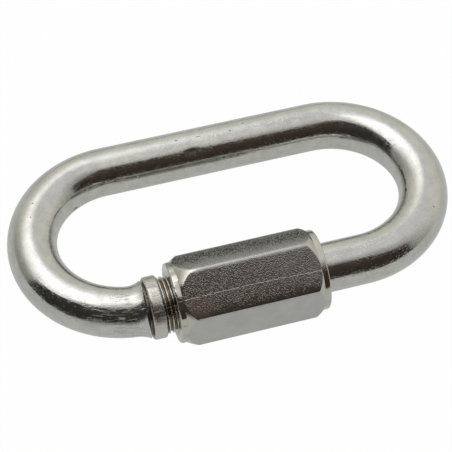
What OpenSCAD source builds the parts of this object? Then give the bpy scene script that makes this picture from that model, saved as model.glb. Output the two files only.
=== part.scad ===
// Oval quick link: a round bar bent into a long loop, with its gap closed by a long hexagonal sleeve nut.
// The link lies as it comes to rest, on its back bar and on the lowest edge of the nut.

/* [Bar] */
// Diameter of the round bar
bar_d = 6; // [4:0.1:8]
// Length of the straight stretch between the two end bends
straight_len = 26.8; // [24:0.2:40]
// Radius of each end bend, at the middle of the bar
bend_r = 10.95; // [9.5:0.05:20]

/* [Threaded ends] */
// Height of the thread's crest above the bar
thread_rise = 0.4; // [0.2:0.05:0.8]
// Travel of the nut for each turn
thread_pitch = 0.5; // [0.4:0.05:1]
// Length of the thread beyond the collar
left_thread_len = 2.2; // [1.7:0.1:5]
// Clear gap between the two ends of the bar
mouth = 5.6; // [4:0.1:7]
// Length of the thread on the end without a collar
right_thread_len = 9; // [5:0.5:12]
// Chamfer at the tip of each threaded end
tip_chamfer = 0.4; // [0.2:0.1:1]

/* [Collar end] */
// Length over which the bar widens towards the collar
flare_len = 2; // [1.5:0.1:3]
// Height above the bar of the ridge that the flare ends in
flare_rise = 0.45; // [0.2:0.05:1]
// Width of the narrow groove between the ridge and the collar
groove_w = 0.25; // [0.1:0.05:0.5]
// Depth of the groove below the ridge
groove_depth = 0.35; // [0.1:0.05:1]
// Length of the collar
collar_len = 1.65; // [1.2:0.05:4]
// Height of the collar above the thread's crest
collar_rise = 0.35; // [0.2:0.05:0.8]
// Chamfer on both edges of the collar
collar_chamfer = 0.3; // [0.1:0.05:0.5]

/* [Sleeve nut] */
// Overall length of the nut
nut_len = 18.15; // [16:0.05:20]
// Wall between the bore and the middle of each flat
nut_wall = 1.38; // [1:0.01:2.5]
// Depth by which the sharp corners of the hexagon are turned down
corner_trim = 0.13; // [0.02:0.01:0.4]
// Length of the domed chamfer at each end of the hexagon
hex_dome_len = 1.15; // [0.5:0.05:2]
// Depth of the round end bosses below the flats
boss_step = 0.08; // [0.02:0.01:0.4]
// Length of each boss
boss_len = 0.75; // [0.7:0.05:2]
// Rounding on the outer edge of each boss
boss_round = 0.45; // [0.2:0.05:0.5]
// Depth of the countersink at each mouth of the bore
countersink = 0.3; // [0.1:0.05:0.4]
// Turns by which the nut is backed off from the collar
rest_turns = 2; // [0:1:3]
// Angle of the lowest nut edge from straight down, towards the front
nut_turn = 3; // [0:0.5:29]

/* [Fits] */
// Radial clearance between the thread and the bore of the nut
thread_clear = 0.05; // [0.02:0.01:0.1]
// Gap left between the nut and the collar when the nut is screwed home
seat_gap = 0.3; // [0.05:0.05:0.4]

/* [Hidden] */
$fn = 96;
bar_r = bar_d / 2;
thread_r = bar_r + thread_rise;
collar_r = thread_r + collar_rise;
ridge_r = bar_r + flare_rise;
bore_r = thread_r + thread_clear;

// Sections of the nut
flat_r = bore_r + nut_wall;
sharp_corner_r = flat_r / cos(30);
corner_r = sharp_corner_r - corner_trim;
boss_r = flat_r - boss_step;
hex_len = nut_len - 2 * boss_len;

// The dome is part of a ball that meets the boss at one end and the turned corners at the other
dome_z = (pow(corner_r, 2) + pow(hex_dome_len, 2) - pow(boss_r, 2)) / (2 * hex_dome_len);
dome_r = sqrt(pow(boss_r, 2) + pow(dome_z, 2));

// Stations along the front side, from left to right
bend_left_x = -straight_len / 2;
bend_right_x = straight_len / 2;
collar_x = bend_left_x + groove_w;
seat_x = collar_x + collar_len;
left_tip_x = seat_x + left_thread_len;
right_tip_x = left_tip_x + mouth;
nut_x = seat_x + seat_gap + rest_turns * thread_pitch;

// The flare starts inside the bar, by as much as the bend has left the flare's axis there
flare_skin = 0.02;
flare_start_r = bar_r - pow(flare_len, 2) / (2 * bend_r) - flare_skin;
flare_height = ridge_r - flare_start_r;
flare_arc_r = (pow(flare_len, 2) + pow(flare_height, 2)) / (2 * flare_height);

// Reach of the nut from its axis, at an angle from straight down towards the front
land_angle = 30 - acos(flat_r / corner_r);
function angle_off_corner(angle) = abs((angle - nut_turn + 390) % 60 - 30);
function nut_reach(angle) = corner_r * cos(max(0, angle_off_corner(angle) - land_angle));

// Rest pose: the nut's side of the loop is lifted until nut and back bar lie on the ground
tilt = asin((nut_reach(0) - bar_r) / (2 * bend_r));
lift = bar_r + bend_r * sin(tilt);
shift_y = (nut_reach(90) - bar_r) / 2;

// Stands the loop, which is drawn flat in the XY plane, in its rest pose
module at_rest() {
    translate([0, shift_y, lift])
        rotate([-tilt, 0, 0])
            children();
}

// Places a shape drawn along Z on the axis of the front side, starting at x
module on_front_axis(x) {
    translate([x, -bend_r, 0])
        rotate([0, 90, 0])
            children();
}

// A bar with a chamfer at its start and its end
module chamfered_bar(r, len, chamfer_start, chamfer_end) {
    rotate_extrude()
        polygon([
            [0, 0],
            [r - chamfer_start, 0],
            [r, chamfer_start],
            [r, len - chamfer_end],
            [r - chamfer_end, len],
            [0, len]
        ]);
}

// The half-round bend at the right end
module end_bend() {
    translate([bend_right_x, 0, 0])
        rotate([0, 0, -90])
            rotate_extrude(angle = 180)
                translate([bend_r, 0])
                    circle(r = bar_r);
}

module back_bar() {
    translate([bend_left_x, bend_r, 0])
        rotate([0, 90, 0])
            cylinder(r = bar_r, h = straight_len);
}

// The bar's swelling towards the collar, hollowed by an arc
module flare() {
    rotate_extrude()
        difference() {
            square([ridge_r, flare_len]);
            translate([flare_start_r + flare_arc_r, 0])
                circle(r = flare_arc_r);
        }
}

// The left end of the bar: flare, groove, collar and a short thread
module collar_arm() {
    collar_half = collar_len / 2;
    on_front_axis(bend_left_x - flare_len)
        flare();
    on_front_axis(bend_left_x)
        cylinder(r = ridge_r - groove_depth, h = groove_w + collar_half);
    on_front_axis(collar_x)
        chamfered_bar(collar_r, collar_len, collar_chamfer, collar_chamfer);
    on_front_axis(seat_x - collar_half)
        chamfered_bar(thread_r, collar_half + left_thread_len, 0, tip_chamfer);
}

// The right end of the bar: a longer thread on the plain bar
module plain_arm() {
    on_front_axis(right_tip_x)
        chamfered_bar(thread_r, right_thread_len, tip_chamfer, tip_chamfer);
    on_front_axis(right_tip_x + tip_chamfer)
        cylinder(r = bar_r, h = bend_right_x - right_tip_x - tip_chamfer);
}

// The bent bar, in one piece with its collar and its two threaded ends
module link_body() {
    color("silver")
        at_rest() {
            back_bar();
            end_bend();
            mirror([1, 0, 0])
                end_bend();
            collar_arm();
            plain_arm();
        }
}

// One domed end of the turned shape that rounds off the hexagon
module dome_profile() {
    intersection() {
        translate([0, dome_z])
            circle(r = dome_r);
        square([corner_r, hex_dome_len]);
    }
}

// Hexagon with its corners turned round and domed at both ends
module nut_hexagon() {
    intersection() {
        cylinder(r = sharp_corner_r, h = hex_len, $fn = 6);
        rotate_extrude() {
            dome_profile();
            translate([0, hex_dome_len])
                square([corner_r, hex_len - 2 * hex_dome_len]);
            translate([0, hex_len])
                mirror([0, 1])
                    dome_profile();
        }
    }
}

// Round boss with its outer edge rounded, rooted inside the hexagon
module nut_boss() {
    straight_r = boss_r - boss_round;
    straight_h = boss_len - boss_round;
    rotate_extrude() {
        translate([0, -hex_dome_len])
            square([boss_r, hex_dome_len + straight_h]);
        square([straight_r, boss_len]);
        translate([straight_r, straight_h])
            intersection() {
                circle(r = boss_round);
                square(boss_round);
            }
    }
}

// Through bore with a countersink at each mouth
module nut_bore() {
    overrun = 1;
    translate([0, 0, -overrun])
        cylinder(r = bore_r, h = nut_len + 2 * overrun);
    for (end = [0, 1])
        translate([0, 0, end * nut_len])
            mirror([0, 0, end])
                translate([0, 0, -countersink])
                    cylinder(r1 = bore_r + 2 * countersink, r2 = bore_r, h = 2 * countersink);
}

// The long nut that screws across the gap
module sleeve_nut() {
    color("gray")
        at_rest()
            on_front_axis(nut_x)
                rotate([0, 0, tilt - nut_turn])
                    difference() {
                        union() {
                            translate([0, 0, boss_len])
                                nut_hexagon();
                            translate([0, 0, nut_len - boss_len])
                                nut_boss();
                            translate([0, 0, boss_len])
                                mirror([0, 0, 1])
                                    nut_boss();
                        }
                        nut_bore();
                    }
}

link_body();
sleeve_nut();
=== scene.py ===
"""Looks of an oval quick link: a bent bar with threaded ends, closed by a long hexagonal sleeve nut."""
import math

import bpy
from mathutils import Matrix, Vector


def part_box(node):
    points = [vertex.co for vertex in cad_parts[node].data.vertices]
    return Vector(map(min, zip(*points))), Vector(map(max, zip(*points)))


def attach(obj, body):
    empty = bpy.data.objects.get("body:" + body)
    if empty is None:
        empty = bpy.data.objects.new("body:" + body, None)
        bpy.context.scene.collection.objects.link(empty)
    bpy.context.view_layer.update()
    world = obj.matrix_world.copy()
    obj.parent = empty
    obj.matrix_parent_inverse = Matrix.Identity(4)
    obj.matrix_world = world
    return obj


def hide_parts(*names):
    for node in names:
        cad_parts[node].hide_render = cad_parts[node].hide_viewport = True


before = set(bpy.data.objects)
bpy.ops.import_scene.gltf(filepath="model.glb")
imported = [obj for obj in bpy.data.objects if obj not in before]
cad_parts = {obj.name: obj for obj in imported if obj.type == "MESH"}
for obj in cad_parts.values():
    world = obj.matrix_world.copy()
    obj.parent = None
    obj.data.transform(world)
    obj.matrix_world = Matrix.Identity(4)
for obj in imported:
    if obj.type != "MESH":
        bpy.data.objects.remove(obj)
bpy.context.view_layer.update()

# Sizes are in millimetres until a tree's last step turns them into metres
METRE = 0.001

# Bar
BAR_R = 3.0
STRAIGHT = 26.8
BEND_R = 10.95
BEND_X = STRAIGHT / 2
BAR_SIDES = 128
RING_STEP = 0.32
BAR_STEP_GAP = 0.01

# Threads, which share one helix so that the nut runs from one end on to the other
PITCH = 0.5
FLANK_WAVE = 0.7
THREAD_R = 3.4
THREAD_DEPTH = 0.3
THREAD_STEP = PITCH / 12
RUN_OUT = 0.35
TIP_CHAMFER = 0.4
LEFT_THREAD = 2.2
RIGHT_THREAD = 9.0
MOUTH = 5.6

# Collar end, from the bend towards the tip
RIDGE_RISE = 0.45
FLARE_INSIDE = 2.6
FLARE_OUTSIDE = 1.3
FLARE_POWER = 2.2
FLARE_STEP = 0.1
RIDGE_LEAN = 0.35
LEAN_TURN = math.radians(48)
LEAN_POWER = 3.0
LEAN_FADE = 0.8
GROOVE_W = 0.25
GROOVE_R = 3.1
COLLAR_R = 3.75
COLLAR_LEN = 1.65
COLLAR_EDGE = 0.3
COLLAR_INSET = 0.1
EDGE_STEPS = 4
COLLAR_X = -BEND_X + GROOVE_W
SEAT_X = COLLAR_X + COLLAR_LEN
LEFT_TIP_X = SEAT_X + LEFT_THREAD
RIGHT_TIP_X = LEFT_TIP_X + MOUTH
RIGHT_THREAD_X = RIGHT_TIP_X + RIGHT_THREAD

# The same stations as distances along the bar from its left tip
SEAT_ALONG = LEFT_THREAD
GROOVE_ALONG = SEAT_ALONG + COLLAR_LEN
RIDGE_ALONG = GROOVE_ALONG + GROOVE_W

# Sleeve nut, whose place is read from the frame
nut_low, nut_high = (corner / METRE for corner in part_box("sleeve_nut"))
NUT_X = nut_low.x
NUT_LEN = nut_high.x - nut_low.x
NUT_Y = (nut_low.y + nut_high.y) / 2
NUT_Z = (nut_low.z + nut_high.z) / 2
BORE_R = 3.45
NUT_THREAD_R = 3.47
NUT_THREAD_DEPTH = 0.25
NUT_THREAD_STEP = PITCH / 10
CORNERS = 6
FLAT_R = 4.83
CORNER_R = 5.447
CORNER_POWER = 48.0
CORNER_TURN = math.radians(3)
CORNER_CROWDING = 0.7
EDGE_SOFTNESS = 0.05
TURNED_SPAN = (-0.05, 0.1)
WORN_TURN = math.pi / 3 - CORNER_TURN
WORN_UPPER = math.radians(-3.6)
WORN_LOWER = math.radians(6.5)
WORN_UPPER_R = 4.925
WORN_LOWER_R = 4.9
BLUNT_TURN = math.radians(138)
BLUNT_R = 5.43
BOSS_R = FLAT_R
BOSS_LEN = 0.75
BOSS_ROUND = 0.22
RIM_STEPS = 6
LEFT_DOME = 1.15
RIGHT_DOME = 0.85
DOME_SPARE = 0.35
DOME_STEP = 0.05
CHEW_DEPTH = 0.11
CHEW_LEN = 0.9
CHEW_SPAN = (0.35, 0.8)
COUNTERSINK = 0.45
NUT_SIDES = 192
NUT_STEP_GAP = 0.02
MIDDLE_STEP = 0.8
CLEAR_OF_CORNERS = 1.0
MERGE_GAP = 0.001

# Rest pose of the loop: the nut's side is lifted until the nut and the back bar lie on the floor
TILT = math.asin((NUT_Z - BAR_R) / (2 * BEND_R))
SHIFT_Y = NUT_Y + BEND_R * math.cos(TILT)
LIFT = BAR_R + BEND_R * math.sin(TILT)

# Dents in the bar: distance from the left tip, turn from the outside of the loop towards the top,
# half length, half width and depth
DENTS = [
    (49.6, math.radians(130), 0.9, 0.5, 0.1),
    (44.7, math.radians(131), 0.5, 0.4, 0.012),
    (31.9, math.radians(-162), 0.45, 0.5, 0.12),
]
WAVINESS = 0.008
WAVE_LEN = 3.2

# Small dark marks on the bar: distance from the left tip, turn, half length and half width
MARKS = [
    (27.4, math.radians(83), 0.12, 0.13),
    (25.3, math.radians(89), 0.12, 0.08),
    (48.1, math.radians(91), 0.22, 0.07),
    (50.9, math.radians(93), 0.3, 0.06),
    (55.0, math.radians(95), 0.16, 0.08),
    (56.9, math.radians(81), 0.25, 0.07),
    (89.6, math.radians(57), 0.12, 0.1),
    (32.1, math.radians(-167), 0.65, 0.32),
]


class Wiring:
    """A short way to add nodes to a tree and wire them."""

    def __init__(self, tree):
        self.tree = tree

    def feed(self, socket, value):
        """Links a socket to another node's output, or sets it to a plain value."""
        if isinstance(value, bpy.types.NodeSocket):
            self.tree.links.new(value, socket)
        else:
            socket.default_value = value

    def node(self, kind, inputs=(), **settings):
        made = self.tree.nodes.new(kind)
        for name, value in settings.items():
            setattr(made, name, value)
        for key, value in dict(inputs).items():
            self.feed(made.inputs[key], value)
        return made

    def group(self, tree, inputs):
        """Places a node group and feeds its named inputs."""
        kind = tree.bl_idname.replace("Tree", "Group")
        return self.node(kind, inputs, node_tree=tree).outputs

    def math(self, operation, *values):
        return self.node("ShaderNodeMath", enumerate(values), operation=operation).outputs[0]

    def weighted(self, start, *terms):
        """A start plus each value times its weight."""
        total = start
        for value, weight in terms:
            total = self.math("MULTIPLY_ADD", value, weight, total)
        return total

    def vector(self, operation, *values):
        made = self.node("ShaderNodeVectorMath", enumerate(values), operation=operation)
        return made.outputs["Vector"]

    def scaled(self, vector, factor):
        made = self.node("ShaderNodeVectorMath", {0: vector, "Scale": factor}, operation="SCALE")
        return made.outputs["Vector"]

    def measure(self, operation, *values):
        made = self.node("ShaderNodeVectorMath", enumerate(values), operation=operation)
        return made.outputs["Value"]

    def split(self, vector):
        return self.node("ShaderNodeSeparateXYZ", {0: vector}).outputs

    def joined(self, x, y, z):
        return self.node("ShaderNodeCombineXYZ", {0: x, 1: y, 2: z}).outputs[0]

    def ramp(self, value, low, high, to_low=0.0, to_high=1.0):
        inputs = {0: value, 1: low, 2: high, 3: to_low, 4: to_high}
        return self.node("ShaderNodeMapRange", inputs, interpolation_type="SMOOTHSTEP").outputs[0]

    def within(self, value, limit, soft):
        """1 below a limit and 0 above it, with a soft edge."""
        return self.ramp(value, limit - soft, limit + soft, 1.0, 0.0)

    def mix(self, share, low, high):
        return self.node("ShaderNodeMix", {0: share, 2: low, 3: high}, data_type="FLOAT").outputs[0]

    def blend(self, share, low, high):
        inputs = {0: share, 6: low, 7: high}
        return self.node("ShaderNodeMix", inputs, data_type="RGBA").outputs[2]

    def noise(self, vector, scale, detail=0.0):
        inputs = {"Vector": vector, "Scale": scale, "Detail": detail}
        return self.node("ShaderNodeTexNoise", inputs).outputs[0]


def new_group(name, kind, inputs, outputs):
    """A node group with named sockets; returns its wiring, its inputs and its output node."""
    tree = bpy.data.node_groups.new(name, kind)
    for direction, sockets in (("INPUT", inputs), ("OUTPUT", outputs)):
        for label, socket_type in sockets.items():
            tree.interface.new_socket(label, in_out=direction, socket_type="NodeSocket" + socket_type)
    wire = Wiring(tree)
    given = wire.node("NodeGroupInput").outputs
    result = wire.node("NodeGroupOutput")
    return wire, given, result


# Shapes


def thread_group():
    """How high a point stands on the helix, from 0 at the root to 1 at the crest."""
    inputs = {"Along": "Float", "Turn": "Float", "Pitch": "Float"}
    wire, given, result = new_group("thread height", "GeometryNodeTree", inputs, {"Height": "Float"})
    turns = wire.math("DIVIDE", given["Along"], given["Pitch"])
    phase = wire.math("SUBTRACT", given["Turn"], wire.math("MULTIPLY", turns, math.tau))
    wave = wire.math("MULTIPLY_ADD", wire.math("COSINE", phase), FLANK_WAVE, 0.5)
    wire.feed(result.inputs["Height"], wire.node("ShaderNodeClamp", {0: wave}).outputs[0])
    return wire.tree


def dent_group():
    """Depth of one soft dent at a point of the bar."""
    inputs = {
        "Along": "Float",
        "Turn": "Float",
        "Bar Radius": "Float",
        "Middle Along": "Float",
        "Middle Turn": "Float",
        "Half Length": "Float",
        "Half Width": "Float",
        "Depth": "Float",
    }
    wire, given, result = new_group("dent", "GeometryNodeTree", inputs, {"Depth": "Float"})
    off_along = wire.math("SUBTRACT", given["Along"], given["Middle Along"])
    off_along = wire.math("DIVIDE", off_along, given["Half Length"])
    off_turn = wire.math("SUBTRACT", given["Turn"], given["Middle Turn"])
    off_turn = wire.math("WRAP", off_turn, math.pi, -math.pi)
    off_round = wire.math("MULTIPLY", off_turn, given["Bar Radius"])
    off_round = wire.math("DIVIDE", off_round, given["Half Width"])
    square = wire.math("MULTIPLY", off_along, off_along)
    square = wire.math("MULTIPLY_ADD", off_round, off_round, square)
    fade = wire.math("EXPONENT", wire.math("MULTIPLY", square, -1.0))
    wire.feed(result.inputs["Depth"], wire.math("MULTIPLY", fade, given["Depth"]))
    return wire.tree


def named(wire, name, kind="FLOAT"):
    """Reads an attribute of the helper line."""
    return wire.node("GeometryNodeInputNamedAttribute", {"Name": name}, data_type=kind).outputs[0]


def store(wire, geometry, name, value, kind="FLOAT"):
    """Writes a value for each point to an attribute."""
    inputs = {"Geometry": geometry, "Name": name, "Value": value}
    made = wire.node("GeometryNodeStoreNamedAttribute", inputs, data_type=kind, domain="POINT")
    return made.outputs[0]


def ring_sweep(wire, line, sides, capped):
    """Rings of a unit circle along the helper line, each of which keeps its centre."""
    curve = wire.node("GeometryNodeMeshToCurve", {"Mesh": line}).outputs[0]
    upright = wire.node("GeometryNodeSetCurveNormal", {"Curve": curve}, mode="Z_UP").outputs[0]
    place = wire.node("GeometryNodeInputPosition").outputs[0]
    centred = store(wire, upright, "centre", place, "FLOAT_VECTOR")
    circle = wire.node("GeometryNodeCurvePrimitiveCircle", {"Resolution": sides, "Radius": 1.0}).outputs[0]
    inputs = {"Curve": centred, "Profile Curve": circle, "Scale": 1.0, "Fill Caps": capped}
    return wire.node("GeometryNodeCurveToMesh", inputs).outputs[0]


def finish_tree(wire, geometry, turn, place, material, result):
    """Stands the shape in its place, in metres, and gives it its material."""
    inputs = {"Geometry": geometry, "Translation": place, "Rotation": turn, "Scale": (METRE, METRE, METRE)}
    placed = wire.node("GeometryNodeTransform", inputs).outputs[0]
    whole = wire.node("GeometryNodeRealizeInstances", {"Geometry": placed}).outputs[0]
    coated = wire.node("GeometryNodeSetMaterial", {"Geometry": whole, "Material": material}).outputs[0]
    wire.feed(result.inputs["Geometry"], coated)


def bent_bar_tree(thread, dent):
    """Sweeps a round section along the loop, cuts the threads and the flare, and dents it."""
    inputs = {
        "Geometry": "Geometry",
        "Sides": "Int",
        "Bar Radius": "Float",
        "Pitch": "Float",
        "Thread Depth": "Float",
        "Ridge Rise": "Float",
        "Flare Inside": "Float",
        "Flare Outside": "Float",
        "Ridge Lean": "Float",
        "Lean Turn": "Float",
        "Lean Fade": "Float",
        "Waviness": "Float",
        "Wave Length": "Float",
        "Tilt": "Float",
        "Place": "Vector",
        "Material": "Material",
    }
    wire, given, result = new_group("bent bar", "GeometryNodeTree", inputs, {"Geometry": "Geometry"})
    swept = ring_sweep(wire, given["Geometry"], given["Sides"], True)
    position = wire.node("GeometryNodeInputPosition").outputs[0]
    centre = named(wire, "centre", "FLOAT_VECTOR")
    along = named(wire, "along")
    ring = named(wire, "ring_radius")
    outward = wire.vector("NORMALIZE", wire.vector("SUBTRACT", position, centre))
    centre_x = wire.split(centre)[0]
    out_x, across, up = wire.split(outward)
    side = wire.math("MULTIPLY", out_x, named(wire, "side_x"))
    side = wire.math("MULTIPLY_ADD", across, named(wire, "side_y"), side)

    # The thread lies on the front side only, so its turn is read about that side's axis
    helix = {"Along": centre_x, "Turn": wire.math("ARCTAN2", up, across), "Pitch": given["Pitch"]}
    height = wire.group(thread, helix)["Height"]
    cut = wire.math("MULTIPLY", wire.math("SUBTRACT", height, 1.0), given["Thread Depth"])
    cut = wire.math("MULTIPLY", cut, named(wire, "threaded"))

    # The flare reaches further along the inside of the bend than along the outside
    inside = wire.math("MULTIPLY_ADD", side, -0.5, 0.5)
    reach = wire.mix(inside, given["Flare Outside"], given["Flare Inside"])
    left = wire.math("SUBTRACT", 1.0, wire.math("DIVIDE", named(wire, "from_ridge"), reach))
    swell = wire.math("POWER", wire.math("MAXIMUM", left, 0.0), FLARE_POWER)
    radius = wire.math("ADD", ring, wire.math("MULTIPLY_ADD", swell, given["Ridge Rise"], cut))

    # Slight unevenness and dents
    straight = wire.joined(along, wire.math("MULTIPLY", side, ring), wire.math("MULTIPLY", up, ring))
    wave = wire.noise(wire.scaled(straight, wire.math("DIVIDE", 1.0, given["Wave Length"])), 1.0)
    wave = wire.math("MULTIPLY", wire.math("SUBTRACT", wave, 0.5), given["Waviness"])
    radius = wire.math("ADD", radius, wire.math("MULTIPLY", wave, named(wire, "plain")))
    turn = wire.math("ARCTAN2", up, side)
    for middle_along, middle_turn, half_length, half_width, depth in DENTS:
        place = {
            "Along": along,
            "Turn": turn,
            "Bar Radius": given["Bar Radius"],
            "Middle Along": middle_along,
            "Middle Turn": middle_turn,
            "Half Length": half_length,
            "Half Width": half_width,
            "Depth": depth,
        }
        radius = wire.math("SUBTRACT", radius, wire.group(dent, place)["Depth"])

    # The ridge is pushed back on one side, so the groove beside it opens there
    fade = wire.math("MULTIPLY", given["Lean Fade"], -1.0)
    fade = wire.math("EXPONENT", wire.math("DIVIDE", named(wire, "from_ridge"), fade))
    askew = wire.math("COSINE", wire.math("SUBTRACT", turn, given["Lean Turn"]))
    askew = wire.math("POWER", wire.math("MAXIMUM", askew, 0.0), LEAN_POWER)
    pushed = wire.math("MULTIPLY", wire.math("MULTIPLY", askew, fade), given["Ridge Lean"])
    lean = wire.joined(wire.math("MULTIPLY", pushed, -1.0), 0.0, 0.0)

    moved = wire.vector("ADD", wire.vector("ADD", centre, lean), wire.scaled(outward, radius))
    kept = store(wire, swept, "straight_bar", straight, "FLOAT_VECTOR")
    furrow = wire.math("MULTIPLY", wire.math("SUBTRACT", 1.0, height), named(wire, "threaded"))
    kept = store(wire, kept, "furrow", furrow)
    shaped = wire.node("GeometryNodeSetPosition", {"Geometry": kept, "Position": moved}).outputs[0]
    tilt = wire.joined(given["Tilt"], 0.0, 0.0)
    finish_tree(wire, shaped, tilt, given["Place"], given["Material"], result)
    return wire.tree


def hex_nut_tree(thread):
    """Turns the nut's section about its axis, mills the six flats and taps the bore."""
    inputs = {
        "Geometry": "Geometry",
        "Sides": "Int",
        "Flat Radius": "Float",
        "Corner Power": "Float",
        "Worn Turn": "Float",
        "Worn Upper": "Float",
        "Worn Lower": "Float",
        "Worn Upper Radius": "Float",
        "Worn Lower Radius": "Float",
        "Blunt Turn": "Float",
        "Blunt Radius": "Float",
        "Edge Softness": "Float",
        "Chew Depth": "Float",
        "Chew Length": "Float",
        "Corner Turn": "Float",
        "Corner Crowding": "Float",
        "Pitch": "Float",
        "Thread Depth": "Float",
        "Thread Turn": "Float",
        "Place": "Vector",
        "Material": "Material",
    }
    wire, given, result = new_group("hex nut", "GeometryNodeTree", inputs, {"Geometry": "Geometry"})
    swept = ring_sweep(wire, given["Geometry"], given["Sides"], False)
    position = wire.node("GeometryNodeInputPosition").outputs[0]
    outward = wire.vector("SUBTRACT", position, named(wire, "centre", "FLOAT_VECTOR"))
    _, across, up = wire.split(outward)
    even_turn = wire.math("ARCTAN2", up, across)
    station = named(wire, "station")
    ring = named(wire, "ring_radius")

    # Rows of points crowd towards the six corners, where the surface turns quickly
    from_corner = wire.math("SUBTRACT", even_turn, given["Corner Turn"])
    crowd = wire.math("SINE", wire.math("MULTIPLY", from_corner, CORNERS))
    crowd = wire.math("MULTIPLY", crowd, wire.math("DIVIDE", given["Corner Crowding"], CORNERS))
    turn = wire.math("SUBTRACT", even_turn, crowd)

    def plane(angle, reach):
        facing = wire.math("MAXIMUM", wire.math("COSINE", angle), 0.0)
        return wire.math("POWER", wire.math("DIVIDE", facing, reach), given["Corner Power"])

    def around(radius):
        return wire.joined(
            station,
            wire.math("MULTIPLY", wire.math("COSINE", turn), radius),
            wire.math("MULTIPLY", wire.math("SINE", turn), radius),
        )

    # Reach of the rounded hexagon from the axis, from the two flats next to this turn
    half_flat = math.pi / CORNERS
    off_corner = wire.math("SUBTRACT", turn, given["Corner Turn"])
    off_corner = wire.math("ABSOLUTE", wire.math("WRAP", off_corner, half_flat, -half_flat))
    near_flat = plane(wire.math("SUBTRACT", half_flat, off_corner), given["Flat Radius"])
    next_flat = plane(wire.math("ADD", half_flat, off_corner), given["Flat Radius"])

    # The worn flat is a pair of planes that meet at a blunt angle
    off_worn = wire.math("WRAP", wire.math("SUBTRACT", turn, given["Worn Turn"]), math.pi, -math.pi)
    upper = plane(wire.math("SUBTRACT", off_worn, given["Worn Upper"]), given["Worn Upper Radius"])
    lower = plane(wire.math("ADD", off_worn, given["Worn Lower"]), given["Worn Lower Radius"])
    pair = wire.math("ADD", upper, lower)
    far_off = wire.math("ABSOLUTE", off_worn)
    on_worn = wire.math("LESS_THAN", far_off, half_flat)
    beside_worn = wire.math("SUBTRACT", wire.math("LESS_THAN", far_off, math.pi / 2), on_worn)
    near_flat = wire.mix(on_worn, near_flat, pair)
    next_flat = wire.mix(beside_worn, next_flat, pair)

    # The lower edge of the flat in front is blunted by wear
    blunt = plane(wire.math("SUBTRACT", turn, given["Blunt Turn"]), given["Blunt Radius"])
    planes = wire.math("ADD", wire.math("ADD", near_flat, next_flat), blunt)
    hexagon = wire.math("POWER", planes, wire.math("DIVIDE", -1.0, given["Corner Power"]))
    milled = wire.math("SMOOTH_MIN", ring, hexagon, given["Edge Softness"])
    radius = wire.mix(named(wire, "outer_share"), ring, milled)
    turned = wire.ramp(wire.math("SUBTRACT", hexagon, ring), *TURNED_SPAN)

    # The boss next to the collar is chewed by the many times that it was screwed home
    per_chew = wire.math("DIVIDE", 1.0, given["Chew Length"])
    chew = wire.noise(wire.scaled(around(ring), per_chew), 1.0, 1.0)
    chew = wire.math("MULTIPLY", wire.ramp(chew, *CHEW_SPAN), named(wire, "chewed"))
    radius = wire.math("SUBTRACT", radius, wire.math("MULTIPLY", chew, given["Chew Depth"]))

    # The helix is the bar's own, so the nut's ridges lie in the bar's furrows
    thread_turn = wire.math("ADD", turn, given["Thread Turn"])
    helix = {"Along": station, "Turn": thread_turn, "Pitch": given["Pitch"]}
    height = wire.group(thread, helix)["Height"]
    ridge = wire.math("MULTIPLY", wire.math("SUBTRACT", height, 1.0), given["Thread Depth"])
    radius = wire.math("ADD", radius, wire.math("MULTIPLY", ridge, named(wire, "threaded")))

    kept = store(wire, swept, "turned", turned)
    shaped = wire.node("GeometryNodeSetPosition", {"Geometry": kept, "Position": around(radius)}).outputs[0]
    closed = wire.node("GeometryNodeMergeByDistance", {"Geometry": shaped, "Distance": MERGE_GAP}).outputs[0]
    finish_tree(wire, closed, (0.0, 0.0, 0.0), given["Place"], given["Material"], result)
    return wire.tree


def helper_line(name, points):
    """A chain of edges through the points, each a dict of a place and the values that its ring takes."""
    mesh = bpy.data.meshes.new(name)
    places = [point["place"] for point in points]
    mesh.from_pydata(places, [(i, i + 1) for i in range(len(points) - 1)], [])
    for label in points[0]:
        if label != "place":
            values = mesh.attributes.new(label, "FLOAT", "POINT")
            values.data.foreach_set("value", [point[label] for point in points])
    return mesh


def grown_piece(name, line, tree, sizes, keep):
    """Runs a tree on its helper line and keeps the result as a plain mesh, with the named attributes."""
    piece = bpy.data.objects.new(name, line)
    modifier = piece.modifiers.new("shape", "NODES")
    modifier.node_group = tree
    for socket in tree.interface.items_tree:
        if socket.in_out == "INPUT" and socket.name in sizes:
            modifier[socket.identifier] = sizes[socket.name]
    bpy.context.scene.collection.objects.link(piece)
    depsgraph = bpy.context.evaluated_depsgraph_get()
    mesh = bpy.data.meshes.new_from_object(piece.evaluated_get(depsgraph))
    mesh.name = name
    piece.modifiers.remove(modifier)
    piece.data = mesh
    helpers = [each.name for each in line.attributes if not each.is_internal and each.name != "position"]
    for label in helpers + ["centre"]:
        if label in mesh.attributes and label not in keep:
            mesh.attributes.remove(mesh.attributes[label])
    return piece


def steps(start, end, step):
    """Even stations from start to end, both included, about a step apart."""
    count = max(1, round(abs(end - start) / step))
    return [start + (end - start) * i / count for i in range(count + 1)]


def quarter_turn(count):
    """Angles of a quarter turn in even steps."""
    return [math.pi / 2 * i / count for i in range(count + 1)]


def rounded_edge(x, radius, size, towards):
    """Stations of a quarter round at the rim of a collar whose face is at x."""
    return [
        (x + towards * size * (1 - math.cos(a)), radius - size * (1 - math.sin(a)))
        for a in quarter_turn(EDGE_STEPS)
    ]


def thread_share(x, start, end):
    """1 on a thread that runs from start to end, fading over the run-outs."""
    inside = min(x - start, end - x) / RUN_OUT
    return max(0.0, min(1.0, inside))


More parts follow.
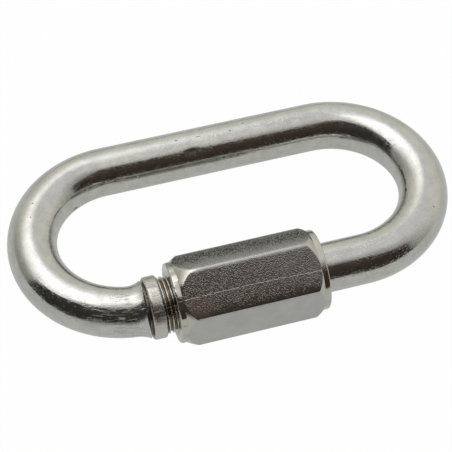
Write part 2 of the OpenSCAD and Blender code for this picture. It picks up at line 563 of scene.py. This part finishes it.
def bar_points():
    """Rings of the bar from the left tip round the loop to the right tip, drawn flat."""
    far = 1000.0
    points = []

    def ring(place, side, radius, threaded=0.0, from_ridge=far, plain=0.0):
        along = 0.0
        if points:
            along = points[-1]["along"] + math.dist(points[-1]["place"][:2], place)
        points.append(
            {
                "place": (*place, 0.0),
                "side_x": side[0],
                "side_y": side[1],
                "ring_radius": radius,
                "threaded": threaded,
                "from_ridge": from_ridge,
                "plain": plain,
                "along": along,
            }
        )

    def front(x, radius, threaded=0.0, plain=0.0):
        ring((x, -BEND_R), (0.0, -1.0), radius, threaded, far, plain)

    def bend(middle_x, towards, along, from_ridge):
        angle = along / BEND_R
        side = (towards * math.sin(angle), towards * math.cos(angle))
        ring((middle_x + BEND_R * side[0], BEND_R * side[1]), side, BAR_R, 0.0, from_ridge, 1.0)

    # Left tip, thread and collar
    for x in steps(LEFT_TIP_X, SEAT_X, THREAD_STEP):
        tip = min(0.0, LEFT_TIP_X - x - TIP_CHAMFER)
        front(x, THREAD_R + tip, thread_share(x, SEAT_X - RUN_OUT, LEFT_TIP_X + RUN_OUT))
    for x, radius in rounded_edge(SEAT_X, COLLAR_R, COLLAR_EDGE, -1):
        front(x - BAR_STEP_GAP, radius)
    inset = COLLAR_EDGE + COLLAR_INSET
    for x in steps(SEAT_X - inset, COLLAR_X + inset, RING_STEP):
        front(x, COLLAR_R)
    for x, radius in reversed(rounded_edge(COLLAR_X, COLLAR_R, COLLAR_EDGE, 1)):
        front(x, radius)
    front(COLLAR_X - BAR_STEP_GAP, GROOVE_R)
    front(-BEND_X + BAR_STEP_GAP, GROOVE_R)

    # Left bend, which starts with the flare, then the back side and the right bend
    half_turn = math.pi * BEND_R
    for along in steps(0.0, FLARE_INSIDE, FLARE_STEP) + steps(FLARE_INSIDE, half_turn, RING_STEP)[1:]:
        bend(-BEND_X, -1, along, along)
    for x in steps(-BEND_X, BEND_X, RING_STEP)[1:]:
        ring((x, BEND_R), (0.0, 1.0), BAR_R, 0.0, far, 1.0)
    for along in steps(0.0, half_turn, RING_STEP)[1:]:
        bend(BEND_X, 1, along, far)

    # Right end
    for x in steps(BEND_X, RIGHT_THREAD_X, RING_STEP)[1:]:
        front(x, BAR_R, 0.0, 1.0)
    for x in steps(RIGHT_THREAD_X, RIGHT_TIP_X, THREAD_STEP)[1:]:
        start = min(0.0, RIGHT_THREAD_X - x - TIP_CHAMFER)
        tip = min(0.0, x - RIGHT_TIP_X - TIP_CHAMFER)
        front(x, THREAD_R + start + tip, thread_share(x, RIGHT_TIP_X - RUN_OUT, RIGHT_THREAD_X))
    return points


def nut_end(x, towards, dome_len):
    """Stations of the outside of one end, from the face at x to the end of the dome."""
    edge = BOSS_R - BOSS_ROUND
    face = [(x, BORE_R + COUNTERSINK), (x, edge - NUT_STEP_GAP)]
    rim = [
        (x + towards * BOSS_ROUND * (1 - math.cos(a)), edge + BOSS_ROUND * math.sin(a))
        for a in quarter_turn(RIM_STEPS)
    ]
    dome_z = (CORNER_R**2 + dome_len**2 - BOSS_R**2) / (2 * dome_len)
    dome_r = math.hypot(BOSS_R, dome_z)
    dome = [
        (x + towards * (BOSS_LEN + depth), math.sqrt(dome_r**2 - (dome_z - depth) ** 2))
        for depth in steps(0.0, dome_len + DOME_SPARE, DOME_STEP)
    ]
    return face + rim + [(x + towards * (BOSS_LEN - NUT_STEP_GAP), BOSS_R)] + dome


def nut_points():
    """Rings of the nut: along the outside from left to right, and back along the bore."""
    right_x = NUT_X + NUT_LEN
    left = nut_end(NUT_X, 1, LEFT_DOME)
    right = nut_end(right_x, -1, RIGHT_DOME)[::-1]
    middle_r = left[-1][1] + CLEAR_OF_CORNERS
    middle = [(x, middle_r) for x in steps(left[-1][0], right[0][0], MIDDLE_STEP)[1:-1]]
    outside = [(x, radius, 1.0, 0.0) for x, radius in left + middle + right]
    tapped = steps(right_x - COUNTERSINK, NUT_X + COUNTERSINK, NUT_THREAD_STEP)
    bore = [(x, NUT_THREAD_R, 0.0, 1.0) for x in tapped]
    first = outside[0]
    rows = outside + bore + [(first[0], first[1], 0.0, 0.0)]
    return [
        {
            "place": (float(i), 0.0, 0.0),
            "station": x,
            "ring_radius": radius,
            "outer_share": outer,
            "threaded": threaded,
            "chewed": outer * (0 < i and x < NUT_X + BOSS_LEN),
        }
        for i, (x, radius, outer, threaded) in enumerate(rows)
    ]


# Materials, with sizes in millimetres

NOISE_SPAN = (0.3, 0.7)

# Bar finish
BAR_GRAIN = {"Grain Size": 0.14, "Speck Cover": 0.35, "Patch Size": 1.6}
FINE_LINES = {"Length": 3.0, "Spacing": 0.14, "Cover": 0.55}
DEEP_LINES = {"Length": 3.2, "Spacing": 0.09, "Cover": 0.5}
BRIGHT_STEEL = (0.615, 0.611, 0.575, 1.0)
DULL_STEEL = (0.49, 0.487, 0.46, 1.0)
CUT_STEEL = (0.6, 0.59, 0.54, 1.0)
# Painted shade: the colour that darkens the thread's furrows, and the depths over which it comes in
PAINTED_FURROW_SHADE = (0.2, 0.165, 0.115, 1.0)
FURROW_SPAN = (0.35, 0.95)
# Painted shade: the colour that darkens the groove between the collar and the ridge, where it starts and
# ends along the bar, and how far it covers
PAINTED_GROOVE_SHADE = (0.09, 0.075, 0.06, 1.0)
GROOVE_SHADE_START = (GROOVE_ALONG - 0.07, GROOVE_ALONG + 0.05)
GROOVE_SHADE_END = (RIDGE_ALONG - 0.05, RIDGE_ALONG - 0.01)
GROOVE_SHADE_COVER = 0.9
MARK_GREY = (0.17, 0.16, 0.145, 1.0)
RUBBED_START = (SEAT_ALONG, SEAT_ALONG + 0.3)
RUBBED_END = (RIDGE_ALONG + 0.2, RIDGE_ALONG + 1.5)
SCORED_SPAN = (5.0, 13.0)
SCORED_DEPTHS = (2.0, 0.1)
BAR_POLISH = 0.06

# Nut finish
NUT_GRAIN = {"Grain Size": 0.14, "Speck Cover": 1.0, "Patch Size": 2.2}
NUT_LINES = {"Length": 5.0, "Spacing": 0.3, "Cover": 0.45}
PALE_PICKLED = (0.493, 0.487, 0.464, 1.0)
DARK_PICKLED = (0.45, 0.444, 0.423, 1.0)
TURNED_STEEL = (0.55, 0.537, 0.486, 1.0)
TURNED_SMOOTHING = 0.75
WORN_SPAN = (2.5, 3.2)
WORN_SMOOTHING = 0.4
NUT_POLISH = 0.09

# Long scratch on the nut: its bow is a parabola along the flat, with its bend, slope and middle
SCRATCH_BRIGHT = (0.87, 0.84, 0.78, 1.0)
SCRATCH_BOW = (-0.0025, -0.018, -0.12)
SCRATCH_WANDER = 0.1
WANDER_SCALE = 1.3
SCRATCH_EDGE = (0.01, 0.055)
SCRATCH_OUT = (3.5, 4.0)
FAINT_SCALE = 2.1
FAINT_SPAN = (0.3, 0.55)
FAINT_LEVELS = (0.1, 0.8)

# Stain on the nut
STAIN_RED = (0.29, 0.145, 0.123, 1.0)
STAIN_PLACE = {"Middle": (-7.6, -1.5, FLAT_R), "Half Size": (1.7, 1.3, 1.3)}
STAIN_COVER = 0.2
STAIN_DULLNESS = 0.45


def grain_group():
    """Fine grain, round specks and broad patches of a worn steel surface, each from 0 to 1."""
    grain_detail = 2.0
    patch_detail = 3.0
    speck_reach = 0.7
    inputs = {"Vector": "Vector", "Grain Size": "Float", "Speck Cover": "Float", "Patch Size": "Float"}
    outputs = {"Grain": "Float", "Specks": "Float", "Patches": "Float"}
    wire, given, result = new_group("steel grain", "ShaderNodeTree", inputs, outputs)
    per_grain = wire.math("DIVIDE", 1.0, given["Grain Size"])
    per_patch = wire.math("DIVIDE", 1.0, given["Patch Size"])
    grain = wire.noise(given["Vector"], per_grain, grain_detail)
    patches = wire.noise(given["Vector"], per_patch, patch_detail)
    cells = wire.node("ShaderNodeTexVoronoi", {"Vector": given["Vector"], "Scale": per_grain}).outputs
    round_speck = wire.ramp(cells["Distance"], 0.0, speck_reach, 1.0, 0.0)
    bare = wire.math("SUBTRACT", 1.0, given["Speck Cover"])
    specks = wire.ramp(wire.split(cells["Color"])[0], bare, 1.0)
    wire.feed(result.inputs["Grain"], grain)
    wire.feed(result.inputs["Specks"], wire.math("MULTIPLY", specks, round_speck))
    wire.feed(result.inputs["Patches"], wire.ramp(patches, *NOISE_SPAN))
    return wire.tree


def hairline_group():
    """Thin scratches that run along the first axis, from 0 beside them to 1 on them."""
    half_line = 0.05
    break_size = (2.5, 0.45, 0.45)
    break_edge = 0.1
    inputs = {"Vector": "Vector", "Length": "Float", "Spacing": "Float", "Cover": "Float"}
    wire, given, result = new_group("hairline scratches", "ShaderNodeTree", inputs, {"Lines": "Float"})
    per_length = wire.math("DIVIDE", 1.0, given["Length"])
    per_spacing = wire.math("DIVIDE", 1.0, given["Spacing"])
    drawn_out = wire.vector("MULTIPLY", given["Vector"], wire.joined(per_length, per_spacing, per_spacing))
    level = wire.noise(drawn_out, 1.0)
    off_line = wire.math("ABSOLUTE", wire.math("SUBTRACT", level, 0.5))
    lines = wire.ramp(off_line, 0.0, half_line, 1.0, 0.0)
    breaks = wire.noise(wire.vector("MULTIPLY", drawn_out, break_size), 1.0, 1.0)
    edge = wire.math("SUBTRACT", 1.0, given["Cover"])
    shown = wire.ramp(breaks, edge, wire.math("ADD", edge, break_edge))
    wire.feed(result.inputs["Lines"], wire.math("MULTIPLY", lines, shown))
    return wire.tree


def mark_group():
    """A small ragged spot, 1 in its middle."""
    rag_scale = 9.0
    rag = 0.6
    edge = (0.5, 1.2)
    inputs = {"Vector": "Vector", "Middle": "Vector", "Half Size": "Vector"}
    wire, given, result = new_group("small mark", "ShaderNodeTree", inputs, {"Mark": "Float"})
    off = wire.vector("SUBTRACT", given["Vector"], given["Middle"])
    off = wire.vector("DIVIDE", off, given["Half Size"])
    ragged = wire.math("MULTIPLY", wire.noise(given["Vector"], rag_scale), rag)
    far = wire.math("ADD", wire.measure("LENGTH", off), wire.math("SUBTRACT", ragged, rag / 2))
    wire.feed(result.inputs["Mark"], wire.ramp(far, *edge, 1.0, 0.0))
    return wire.tree


def new_steel(name):
    """An empty steel material: its wiring and its shader."""
    material = bpy.data.materials.new(name)
    material.use_nodes = True
    shader = material.node_tree.nodes["Principled BSDF"]
    shader.inputs["Metallic"].default_value = 1.0
    return material, Wiring(material.node_tree), shader


def bumped(wire, shader, height):
    """Turns a height in millimetres into the shader's normal."""
    bump = wire.node("ShaderNodeBump", {"Strength": 1.0, "Distance": METRE, "Height": height})
    wire.feed(shader.inputs["Normal"], bump.outputs[0])


def bar_steel(grain, hairlines, mark):
    """Tumbled bright steel with fine lengthwise scratches, pits and a yellowish thread; shade is painted
    into the thread's furrows and into the groove beside the collar.
    """
    material, wire, shader = new_steel("tumbled bar steel")
    straight = wire.node("ShaderNodeAttribute", attribute_name="straight_bar").outputs["Vector"]
    plain = wire.node("ShaderNodeAttribute", attribute_name="plain").outputs["Fac"]
    furrow = wire.node("ShaderNodeAttribute", attribute_name="furrow").outputs["Fac"]
    along = wire.split(straight)[0]
    surface = wire.group(grain, {"Vector": straight, **BAR_GRAIN})
    fine = wire.group(hairlines, {"Vector": straight, **FINE_LINES})["Lines"]
    deep = wire.group(hairlines, {"Vector": straight, **DEEP_LINES})["Lines"]
    marks = 0.0
    for middle, turn, half_length, half_width in MARKS:
        place = {
            "Vector": straight,
            "Middle": (middle, BAR_R * math.cos(turn), BAR_R * math.sin(turn)),
            "Half Size": (half_length, half_width, half_width),
        }
        marks = wire.math("MAXIMUM", wire.group(mark, place)["Mark"], marks)

    clear_grain = wire.ramp(surface["Grain"], *NOISE_SPAN)
    mottle = wire.weighted(0.0, (surface["Patches"], 0.5), (clear_grain, 0.5))
    colour = wire.blend(mottle, BRIGHT_STEEL, DULL_STEEL)
    colour = wire.blend(plain, CUT_STEEL, colour)
    # Painted shade: the thread's furrows are darkened in the colour, the deeper the darker
    colour = wire.blend(wire.ramp(furrow, *FURROW_SPAN), colour, PAINTED_FURROW_SHADE)
    # Painted shade: the groove between the collar and the ridge is darkened in the colour
    painted_groove_shade = wire.math("MULTIPLY", wire.ramp(along, *GROOVE_SHADE_START), wire.ramp(along, *GROOVE_SHADE_END, GROOVE_SHADE_COVER, 0.0))
    colour = wire.blend(painted_groove_shade, colour, PAINTED_GROOVE_SHADE)
    wire.feed(shader.inputs["Base Color"], wire.blend(marks, colour, MARK_GREY))

    rubbed = wire.math("MULTIPLY", wire.ramp(along, *RUBBED_START), wire.ramp(along, *RUBBED_END, 1.0, 0.0))
    roughness = wire.weighted(
        BAR_POLISH,
        (surface["Patches"], 0.04),
        (fine, 0.05),
        (deep, 0.14),
        (wire.math("SUBTRACT", 1.0, plain), 0.08),
        (rubbed, 0.13),
        (marks, 0.3),
    )
    wire.feed(shader.inputs["Roughness"], roughness)

    # The deeper scratches are scored in most near the collar
    scored = wire.math("MULTIPLY", deep, wire.ramp(along, *SCORED_SPAN, *SCORED_DEPTHS))
    height = wire.weighted(
        0.0,
        (surface["Grain"], 0.0034),
        (surface["Specks"], 0.013),
        (fine, -0.0022),
        (scored, -0.0062),
        (marks, -0.015),
    )
    bumped(wire, shader, height)
    return material


def long_scratch(wire, face, turned):
    """One long light scratch, slightly bowed, near the middle of the flat; 1 on it, 0 on turned steel."""
    along, across, out = wire.split(face)
    line = wire.joined(along, 0.0, 0.0)
    bend, slope, middle = SCRATCH_BOW
    bow = wire.math("MULTIPLY_ADD", along, bend, slope)
    bow = wire.math("MULTIPLY_ADD", along, bow, middle)
    wander = wire.weighted(-SCRATCH_WANDER / 2, (wire.noise(line, WANDER_SCALE), SCRATCH_WANDER))
    off = wire.math("SUBTRACT", across, wire.math("ADD", bow, wander))
    scratch = wire.ramp(wire.math("ABSOLUTE", off), *SCRATCH_EDGE, 1.0, 0.0)
    on_flat = wire.ramp(out, *SCRATCH_OUT)
    faint = wire.ramp(wire.noise(line, FAINT_SCALE), *FAINT_SPAN, *FAINT_LEVELS)
    faint = wire.math("MULTIPLY", faint, wire.math("SUBTRACT", 1.0, turned))
    return wire.math("MULTIPLY", wire.math("MULTIPLY", scratch, on_flat), faint)


def nut_steel(grain, hairlines, mark):
    """Drawn hexagon steel with a pickled, grainy skin, smoother where the ends are turned."""
    material, wire, shader = new_steel("pickled nut steel")
    place = wire.node("ShaderNodeTexCoord").outputs["Object"]
    turned = wire.node("ShaderNodeAttribute", attribute_name="turned").outputs["Fac"]

    # Millimetres on the flat that faces up and to the front: along, across and out
    inputs = {
        "Vector": place,
        "Location": (0.0, NUT_Y * METRE, NUT_Z * METRE),
        "Rotation": (math.pi / CORNERS - CORNER_TURN, 0.0, 0.0),
        "Scale": (METRE, METRE, METRE),
    }
    face = wire.node("ShaderNodeMapping", inputs, vector_type="TEXTURE").outputs[0]
    surface = wire.group(grain, {"Vector": face, **NUT_GRAIN})
    fine = wire.group(hairlines, {"Vector": face, **NUT_LINES})["Lines"]
    scratch = long_scratch(wire, face, turned)

    # A reddish stain in one corner of the flat
    stain = wire.group(mark, {"Vector": face, **STAIN_PLACE})["Mark"]
    stain = wire.math("MULTIPLY", stain, wire.weighted(STAIN_COVER, (surface["Patches"], 0.35)))

    colour = wire.blend(surface["Patches"], PALE_PICKLED, DARK_PICKLED)
    colour = wire.blend(turned, colour, TURNED_STEEL)
    colour = wire.blend(scratch, colour, SCRATCH_BRIGHT)
    wire.feed(shader.inputs["Base Color"], wire.blend(stain, colour, STAIN_RED))
    wire.feed(shader.inputs["Metallic"], wire.weighted(1.0, (stain, -STAIN_DULLNESS)))
    roughness = wire.weighted(NUT_POLISH, (surface["Patches"], 0.04), (scratch, 0.4))
    wire.feed(shader.inputs["Roughness"], roughness)

    # The turned ends and the worn flat are smoother
    worn = wire.ramp(wire.split(face)[1], *WORN_SPAN)
    skin = wire.weighted(1.0, (turned, -TURNED_SMOOTHING))
    skin = wire.math("MULTIPLY", skin, wire.weighted(1.0, (worn, -WORN_SMOOTHING)))
    height = wire.weighted(0.0, (surface["Grain"], 0.005), (surface["Specks"], 0.0145), (fine, -0.001))
    height = wire.math("MULTIPLY", height, skin)
    bumped(wire, shader, wire.weighted(height, (scratch, -0.01)))
    return material


# Studio, with azimuths from the front and elevations in degrees, and levels at which 1 is paper white

FLOOR_WHITE = 0.984
ROOM_LEVEL = 0.69
WHITE = (1.0, 1.0, 1.0, 1.0)

# Floor: a sheet of paper in millimetres, with a soft shadow near the metal
FLOOR_HALF = 3000.0
PAPER = (0.9, 0.9, 0.9, 1.0)
PAPER_TINT = (0.985, 1.0, 0.975, 1.0)
SHADOW_REACH = 9.0
SHADOW_SAMPLES = 8
SHADOW_SPAN = (0.05, 0.8)
SHADOW_LEVELS = (0.75, 0.96)
SHEET_END = 60.0
SHEET_HALF = 40.0
SHEET_FADE = 30.0
BEYOND_SHEET = 0.45

# Walls, brightest at the back, a little dimmer and warmer near the floor
WALL_MIDDLE = 145.0
WALL_SPAN = (45.0, 95.0)
WALL_LEVELS = (1.22, 0.62)
FOOT_SPAN = (0.0, 25.0)
FOOT_LEVELS = (0.86, 1.0)
CEILING_SPAN = (60.0, 84.0)
CEILING_LEVEL = 1.3
WARM_WALL = (1.0, 0.995, 0.92, 1.0)
COOL_WALL = (1.0, 0.985, 1.0, 1.0)
COOL_SPAN = (15.0, 55.0)
CEILING_TINT = (1.0, 1.0, 0.97, 1.0)
CEILING_TINT_SPAN = (65.0, 80.0)

# Window, behind on the left
WINDOW_MIDDLE = -144.0
WINDOW_HALF = 46.0
WINDOW_SOFT = 16.0
WINDOW_FOOT = (20.0, 56.0)
WINDOW_TOP = (70.0, 87.0)
WINDOW_LEVEL = 1.9

# Dark room behind the camera, highest just left of it, with a pale strip along its foot
ROOM_MIDDLE = -25.0
ROOM_TOP = 79.5
ROOM_TOP_SOFT = 4.0
ROOM_DROP = 0.0053
ROOM_SIDE_SPAN = (15.0, 50.0)
ROOM_SIDES = (80.0, 90.0)
ROOM_SIDE_SOFT = 5.0
STRIP_MIDDLE = -28.0
STRIP_SPAN = (6.0, 40.0)
STRIP_TOPS = (10.0, -2.0)
STRIP_EDGE = (-3.0, 4.0)
ROOM_GREY = (0.062, 0.057, 0.05, 1.0)
ROOM_BROWN = (0.075, 0.056, 0.044, 1.0)
BROWN_SPAN = (-40.0, 10.0)
SHADE_SPAN = (25.0, 65.0)
SHADE_LEVELS = (0.95, 1.6)


def studio_floor():
    """A wide pale floor, white where it is seen, that still takes the object's shadow."""
    half = FLOOR_HALF * METRE
    corners = [(-half, -half, 0), (half, -half, 0), (half, half, 0), (-half, half, 0)]
    mesh = bpy.data.meshes.new("floor")
    mesh.from_pydata(corners, [], [(0, 1, 2, 3)])
    floor = bpy.data.objects.new("floor", mesh)
    bpy.context.scene.collection.objects.link(floor)
    material = bpy.data.materials.new("white paper")
    material.use_nodes = True
    material.node_tree.nodes.clear()
    wire = Wiring(material.node_tree)
    rays = wire.node("ShaderNodeLightPath").outputs
    mirrored = wire.math("MAXIMUM", rays["Is Glossy Ray"], rays["Is Transmission Ray"])

    # Reflections show the paper with its soft shadow near the metal, and a dimmer table behind it
    reach = {"Distance": SHADOW_REACH * METRE}
    open_sky = wire.node("ShaderNodeAmbientOcclusion", reach, samples=SHADOW_SAMPLES).outputs["AO"]
    lit = wire.ramp(open_sky, *SHADOW_SPAN, *SHADOW_LEVELS)
    sideways, back, _ = wire.split(wire.node("ShaderNodeTexCoord").outputs["Object"])
    sideways = wire.math("ABSOLUTE", sideways)
    behind = wire.ramp(back, SHEET_END * METRE, (SHEET_END + SHEET_FADE) * METRE)
    beside = wire.ramp(sideways, SHEET_HALF * METRE, (SHEET_HALF + SHEET_FADE) * METRE, 1.0, 0.0)
    beyond = wire.math("MULTIPLY", behind, beside)
    level = wire.math("MULTIPLY", lit, wire.mix(beyond, 1.0, BEYOND_SHEET))
    level = wire.mix(mirrored, 1.0, wire.math("MULTIPLY", level, ROOM_LEVEL))
    colour = wire.blend(mirrored, WHITE, PAPER_TINT)
    white = wire.node("ShaderNodeEmission", {"Color": colour, "Strength": level}).outputs[0]

    paper = wire.node("ShaderNodeBsdfDiffuse", {"Color": PAPER}).outputs[0]
    share = wire.math("MULTIPLY", rays["Is Camera Ray"], FLOOR_WHITE)
    share = wire.math("MAXIMUM", share, mirrored)
    both = wire.node("ShaderNodeMixShader", {0: share, 1: paper, 2: white}).outputs[0]
    wire.node("ShaderNodeOutputMaterial", {"Surface": both})
    mesh.materials.append(material)


def studio_world():
    """Soft light all round, a bright window behind on the left, and a dark room behind the camera."""
    world = bpy.data.worlds.new("soft studio")
    bpy.context.scene.world = world
    world.use_nodes = True
    world.node_tree.nodes.clear()
    wire = Wiring(world.node_tree)
    x, y, z = wire.split(wire.node("ShaderNodeTexCoord").outputs["Generated"])
    elevation = wire.math("MULTIPLY", wire.math("ARCSINE", z), math.degrees(1))
    front = wire.math("MULTIPLY", y, -1.0)
    azimuth = wire.math("MULTIPLY", wire.math("ARCTAN2", x, front), math.degrees(1))

    def away(angle):
        turned = wire.math("WRAP", wire.math("SUBTRACT", azimuth, angle), 180.0, -180.0)
        return wire.math("ABSOLUTE", turned)

    # Walls
    round_wall = wire.ramp(away(WALL_MIDDLE), *WALL_SPAN, *WALL_LEVELS)
    walls = wire.math("MULTIPLY", round_wall, wire.ramp(elevation, *FOOT_SPAN, *FOOT_LEVELS))
    walls = wire.mix(wire.ramp(elevation, *CEILING_SPAN), walls, CEILING_LEVEL)
    tint = wire.blend(wire.ramp(elevation, *COOL_SPAN), WARM_WALL, COOL_WALL)
    tint = wire.blend(wire.ramp(elevation, *CEILING_TINT_SPAN), tint, CEILING_TINT)

    # Window
    foot = wire.ramp(elevation, *WINDOW_FOOT)
    height = wire.math("MULTIPLY", foot, wire.ramp(elevation, *WINDOW_TOP, 1.0, 0.0))
    window = wire.math("MULTIPLY", wire.within(away(WINDOW_MIDDLE), WINDOW_HALF, WINDOW_SOFT), height)
    lit = wire.scaled(tint, wire.math("MULTIPLY_ADD", window, WINDOW_LEVEL, walls))

    # Dark room
    off_middle = away(ROOM_MIDDLE)
    drop = wire.math("MULTIPLY", wire.math("MULTIPLY", off_middle, off_middle), ROOM_DROP)
    top = wire.math("SUBTRACT", ROOM_TOP, drop)
    below_top = wire.within(wire.math("SUBTRACT", elevation, top), 0.0, ROOM_TOP_SOFT)
    strip = wire.ramp(away(STRIP_MIDDLE), *STRIP_SPAN, *STRIP_TOPS)
    above_strip = wire.ramp(wire.math("SUBTRACT", elevation, strip), *STRIP_EDGE)
    half_room = wire.ramp(elevation, *ROOM_SIDE_SPAN, *ROOM_SIDES)
    across = wire.within(wire.math("SUBTRACT", off_middle, half_room), 0.0, ROOM_SIDE_SOFT)
    dark = wire.math("MULTIPLY", across, wire.math("MULTIPLY", below_top, above_strip))
    shade = wire.blend(wire.ramp(azimuth, *BROWN_SPAN), ROOM_GREY, ROOM_BROWN)
    shade = wire.scaled(shade, wire.ramp(elevation, *SHADE_SPAN, *SHADE_LEVELS))
    room = wire.blend(dark, lit, shade)

    rays = wire.node("ShaderNodeLightPath").outputs
    colour = wire.blend(rays["Is Camera Ray"], room, WHITE)
    level = wire.mix(rays["Is Camera Ray"], ROOM_LEVEL, 1.0)
    background = wire.node("ShaderNodeBackground", {"Color": colour, "Strength": level}).outputs[0]
    wire.node("ShaderNodeOutputWorld", {"Surface": background})


def photo_camera():
    """The photograph's view, as fitted to the outlines of the loop and the nut."""
    azimuth = math.radians(-18.306)
    elevation = math.radians(57.523)
    roll = math.radians(2.902)
    distance = 201.022
    aim = Vector((-0.893, -0.484, 4.234))
    level_reach = math.cos(elevation)
    back = Vector(
        (
            math.sin(azimuth) * level_reach,
            -math.cos(azimuth) * level_reach,
            math.sin(elevation),
        )
    )
    right = Vector((0, 0, 1)).cross(back).normalized()
    up = back.cross(right)
    rolled_right = right * math.cos(roll) + up * math.sin(roll)
    rolled_up = up * math.cos(roll) - right * math.sin(roll)
    data = bpy.data.cameras.new("camera")
    data.lens = 131.76
    data.sensor_width = 36
    data.clip_start = 0.01
    camera = bpy.data.objects.new("camera", data)
    turn = Matrix((rolled_right, rolled_up, back)).transposed().to_4x4()
    camera.matrix_world = Matrix.Translation((aim + back * distance) * METRE) @ turn
    bpy.context.scene.collection.objects.link(camera)
    bpy.context.scene.camera = camera


# Pieces

SHARP_ANGLE = math.radians(38)


def dressed(piece, body, node):
    """Smooths a piece, lets it ride on its body and stand for its node."""
    piece.data.shade_smooth()
    piece.data.set_sharp_from_angle(angle=SHARP_ANGLE)
    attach(piece, body)
    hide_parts(node)


thread = thread_group()
steel_effects = (grain_group(), hairline_group(), mark_group())

bar_sizes = {
    "Sides": BAR_SIDES,
    "Bar Radius": BAR_R,
    "Pitch": PITCH,
    "Thread Depth": THREAD_DEPTH,
    "Ridge Rise": RIDGE_RISE,
    "Flare Inside": FLARE_INSIDE,
    "Flare Outside": FLARE_OUTSIDE,
    "Ridge Lean": RIDGE_LEAN,
    "Lean Turn": LEAN_TURN,
    "Lean Fade": LEAN_FADE,
    "Waviness": WAVINESS,
    "Wave Length": WAVE_LEN,
    "Tilt": -TILT,
    "Place": (0.0, SHIFT_Y * METRE, LIFT * METRE),
    "Material": bar_steel(*steel_effects),
}
bar_tree = bent_bar_tree(thread, dent_group())
bar_line = helper_line("loop line", bar_points())
bar = grown_piece("bent_bar", bar_line, bar_tree, bar_sizes, ["plain"])
dressed(bar, "link", "link_body")

nut_sizes = {
    "Sides": NUT_SIDES,
    "Flat Radius": FLAT_R,
    "Corner Power": CORNER_POWER,
    "Worn Turn": WORN_TURN,
    "Worn Upper": WORN_UPPER,
    "Worn Lower": WORN_LOWER,
    "Worn Upper Radius": WORN_UPPER_R,
    "Worn Lower Radius": WORN_LOWER_R,
    "Blunt Turn": BLUNT_TURN,
    "Blunt Radius": BLUNT_R,
    "Edge Softness": EDGE_SOFTNESS,
    "Chew Depth": CHEW_DEPTH,
    "Chew Length": CHEW_LEN,
    "Corner Turn": -math.pi / 2 - CORNER_TURN,
    "Corner Crowding": CORNER_CROWDING,
    "Pitch": PITCH,
    "Thread Depth": NUT_THREAD_DEPTH,
    "Thread Turn": TILT,
    "Place": (0.0, NUT_Y * METRE, NUT_Z * METRE),
    "Material": nut_steel(*steel_effects),
}
nut_tree = hex_nut_tree(thread)
nut_line = helper_line("nut line", nut_points())
nut = grown_piece("hex_sleeve_nut", nut_line, nut_tree, nut_sizes, [])
dressed(nut, "nut", "sleeve_nut")

studio_floor()
studio_world()
photo_camera()
bpy.context.scene.view_settings.view_transform = "Standard"
